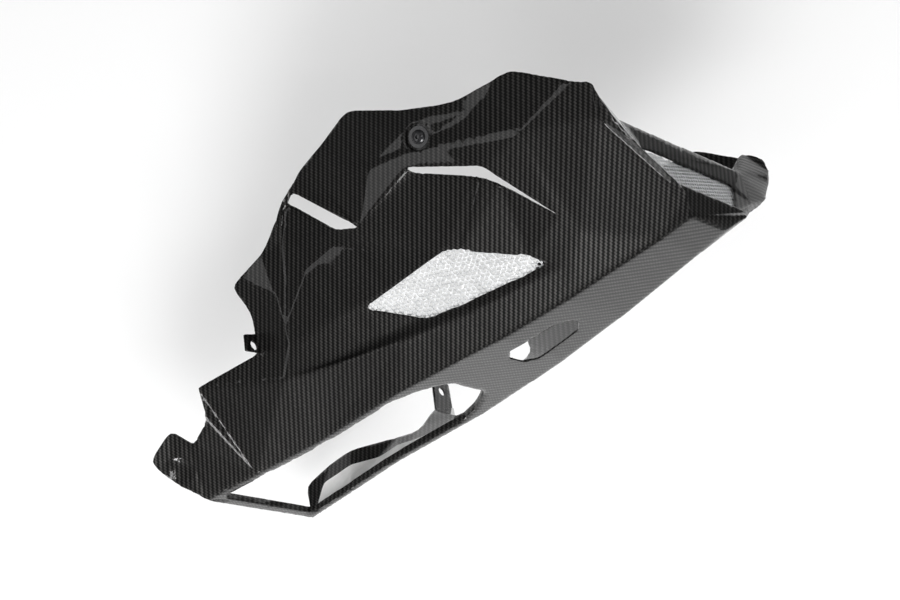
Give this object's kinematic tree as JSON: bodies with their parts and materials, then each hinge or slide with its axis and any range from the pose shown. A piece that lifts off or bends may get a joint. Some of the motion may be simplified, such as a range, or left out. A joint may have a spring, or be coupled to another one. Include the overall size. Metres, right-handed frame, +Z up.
{
  "type": "motorcycle belly pan",
  "caption": "Belly pan of a motorcycle: a glossy twill laminate shell with a rear opening, side and front grilles, rear tabs and dished front fixings.",
  "frame": {"origin": "on the flat bottom, under the middle of the pan's bounding box", "axes": "+X towards the front wheel, +Y to the rider's left, +Z up"},
  "size_m": [0.5943, 0.316, 0.2263],
  "materials": {
    "laminate": "gloss",
    "grille": "satin",
    "foil": "satin",
    "fixing": "satin"
  },
  "bodies": {
    "root": {"shell": "laminate", "side_grille": "grille", "front_grille": "grille", "heat_foil": "foil", "screws": "fixing", "washers": "fixing"}
  },
  "joints": []
}
